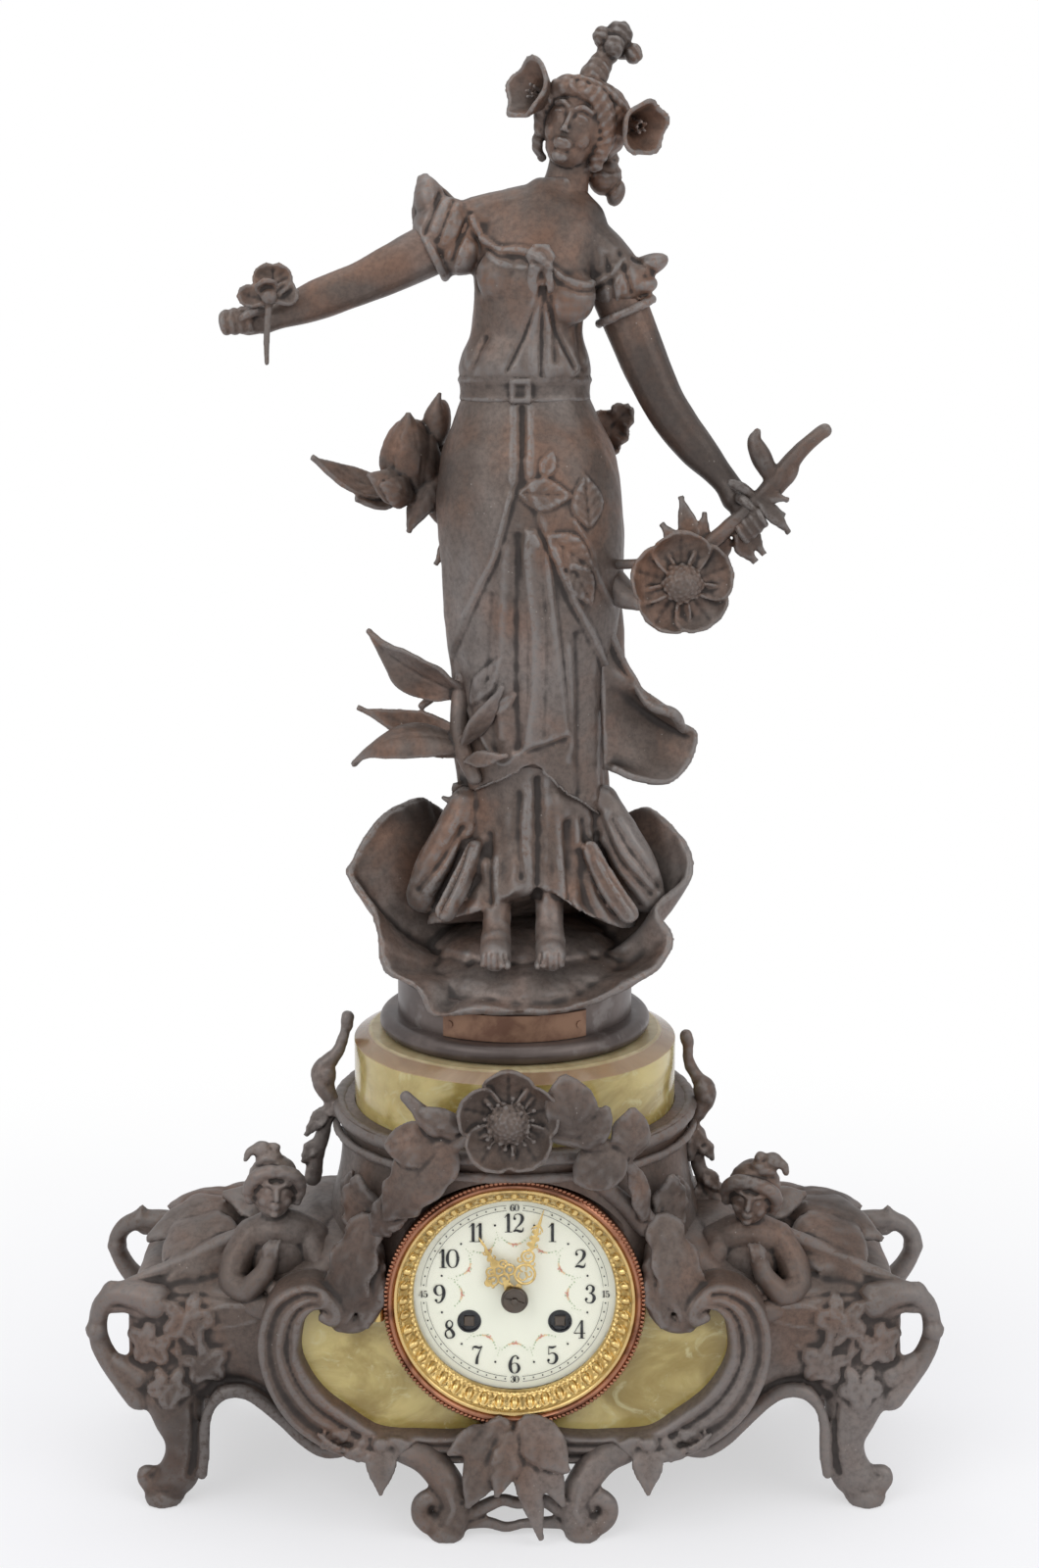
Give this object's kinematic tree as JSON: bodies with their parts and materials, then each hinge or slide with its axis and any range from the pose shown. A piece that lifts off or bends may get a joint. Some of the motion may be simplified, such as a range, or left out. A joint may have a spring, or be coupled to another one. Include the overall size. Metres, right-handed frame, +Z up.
{
  "type": "figural clock",
  "caption": "Mantel clock: draped maiden with flowers on an onyx plinth over a drum case with dial, onyx panels, small busts and looped corner handles.",
  "frame": {"origin": "on the floor, in the middle of the clock's footprint box and under the axis of the round plinth", "axes": "+Z up along the figure, -Y towards the person who reads the dial, +X to that person's right"},
  "size_m": [0.4082, 0.198, 0.6604],
  "materials": {
    "bell_metal": "turned bell metal",
    "case_patina": "satin dark brown patinated zinc casting with reddish rubs",
    "copper_bezel": "aged coppery gilt brass, beaded",
    "dark_steel": "blued dark steel",
    "enamel": "glossy cream enamel with painted numerals",
    "figure_patina": "satin brown patinated zinc casting with grey dusty rubs",
    "flower_patina": "satin copper brown patinated casting",
    "gilt": "gilt brass",
    "glass": "clear domed glass",
    "movement_brass": "brushed brass",
    "onyx": "polished cloudy olive yellow onyx",
    "plate_brass": "dull brown brass strip",
    "socle_metal": "smooth satin dark brown turned metal",
    "steel": "polished steel"
  },
  "bodies": {
    "case": {"case_body": "case_patina", "wing_left": "case_patina", "wing_right": "case_patina", "front_apron": "case_patina", "onyx_panel_left": "onyx", "onyx_panel_right": "onyx", "centre_foot": "case_patina", "onyx_plinth": "onyx", "figure_socle": "socle_metal", "figure_rod": "steel", "rod_nut": "steel", "nameplate": "plate_brass", "nameplate_pins": "plate_brass", "ground_leaf": "figure_patina", "underskirt": "figure_patina", "overskirt": "figure_patina", "drape": "figure_patina", "bodice": "figure_patina", "arm_right": "figure_patina", "arm_left": "figure_patina", "head": "figure_patina", "hair_flowers": "flower_patina", "hand_flower": "flower_patina", "flower_branch": "flower_patina", "bud_spray": "flower_patina", "side_leaves": "flower_patina", "bust_left": "case_patina", "bust_right": "case_patina", "stem_left": "case_patina", "stem_right": "case_patina", "garland_branch": "flower_patina", "garland_flower": "flower_patina", "dial": "enamel", "dial_pan": "movement_brass", "front_plate": "movement_brass", "rear_plate": "movement_brass", "pillars": "movement_brass", "pendulum_cock": "movement_brass", "bell": "bell_metal", "movement_straps": "steel", "rear_ring": "movement_brass", "hinge_pins": "steel"},
    "bezel_door": {"bezel": "copper_bezel", "bezel_glass": "glass", "sight_ring": "gilt"},
    "back_door": {"rear_door": "movement_brass"},
    "minute_works": {"cannon_pinion": "steel", "minute_hand": "gilt", "hand_collet": "dark_steel"},
    "hour_works": {"hour_wheel": "movement_brass", "hour_hand": "gilt"},
    "minute_wheel": {"minute_wheel": "movement_brass"},
    "centre_wheel": {"centre_wheel": "movement_brass"},
    "third_wheel": {"third_wheel": "movement_brass"},
    "escape_wheel": {"escape_wheel": "movement_brass"},
    "going_barrel": {"going_barrel": "movement_brass"},
    "strike_barrel": {"strike_barrel": "movement_brass"},
    "pallets": {"pallets": "steel"},
    "pendulum": {"pendulum": "movement_brass"},
    "hammer": {"hammer": "steel"}
  },
  "joints": [
    {"name": "bezel_swing", "type": "hinge", "parent": "case", "child": "bezel_door", "pos_m": [-0.0609, -0.0751, 0.1087], "axis": [0, 0, -1], "range_deg": [0, 95]},
    {"name": "back_door_swing", "type": "hinge", "parent": "case", "child": "back_door", "pos_m": [-0.05124, 0.07965, 0.1087], "axis": [0, 0, 1], "range_deg": [0, 100]},
    {"name": "minute_hand_turn", "type": "hinge", "parent": "case", "child": "minute_works", "pos_m": [0, -0.07, 0.1087], "axis": [0, 1, 0], "continuous": true},
    {"name": "hour_hand_turn", "type": "hinge", "parent": "case", "child": "hour_works", "pos_m": [0, -0.066, 0.1087], "axis": [0, 1, 0], "continuous": true},
    {"name": "minute_wheel_turn", "type": "hinge", "parent": "case", "child": "minute_wheel", "pos_m": [-0.00848, -0.055, 0.11718], "axis": [0, 1, 0], "continuous": true},
    {"name": "third_wheel_turn", "type": "hinge", "parent": "case", "child": "third_wheel", "pos_m": [0.00756, -0.03, 0.12179], "axis": [0, 1, 0], "continuous": true},
    {"name": "centre_wheel_turn", "type": "hinge", "parent": "case", "child": "centre_wheel", "pos_m": [0, -0.03, 0.1087], "axis": [0, 1, 0], "continuous": true},
    {"name": "going_barrel_turn", "type": "hinge", "parent": "case", "child": "going_barrel", "pos_m": [-0.0204, -0.03, 0.0957], "axis": [0, 1, 0], "continuous": true},
    {"name": "escape_wheel_turn", "type": "hinge", "parent": "case", "child": "escape_wheel", "pos_m": [0, -0.03, 0.13142], "axis": [0, 1, 0], "continuous": true},
    {"name": "strike_barrel_turn", "type": "hinge", "parent": "case", "child": "strike_barrel", "pos_m": [0.0204, -0.03, 0.0957], "axis": [0, 1, 0], "continuous": true},
    {"name": "pendulum_swing", "type": "hinge", "parent": "case", "child": "pendulum", "pos_m": [0, 0.005, 0.1447], "axis": [0, 1, 0], "range_deg": [-4, 4]},
    {"name": "pallets_rock", "type": "hinge", "parent": "case", "child": "pallets", "pos_m": [0, -0.018, 0.1447], "axis": [0, 1, 0], "range_deg": [-4, 4]},
    {"name": "hammer_lift", "type": "hinge", "parent": "case", "child": "hammer", "pos_m": [-0.027, 0.019, 0.0847], "axis": [0, -1, 0], "range_deg": [0, 14]}
  ],
  "couplings": [
    {"joint": "hour_hand_turn", "follows": "minute_hand_turn", "ratio": 0.083333},
    {"joint": "minute_wheel_turn", "follows": "minute_hand_turn", "ratio": -0.33333},
    {"joint": "centre_wheel_turn", "follows": "third_wheel_turn", "ratio": -0.125},
    {"joint": "going_barrel_turn", "follows": "third_wheel_turn", "ratio": 0.027778},
    {"joint": "escape_wheel_turn", "follows": "third_wheel_turn", "ratio": -7.5},
    {"joint": "pallets_rock", "follows": "pendulum_swing", "ratio": 1}
  ]
}
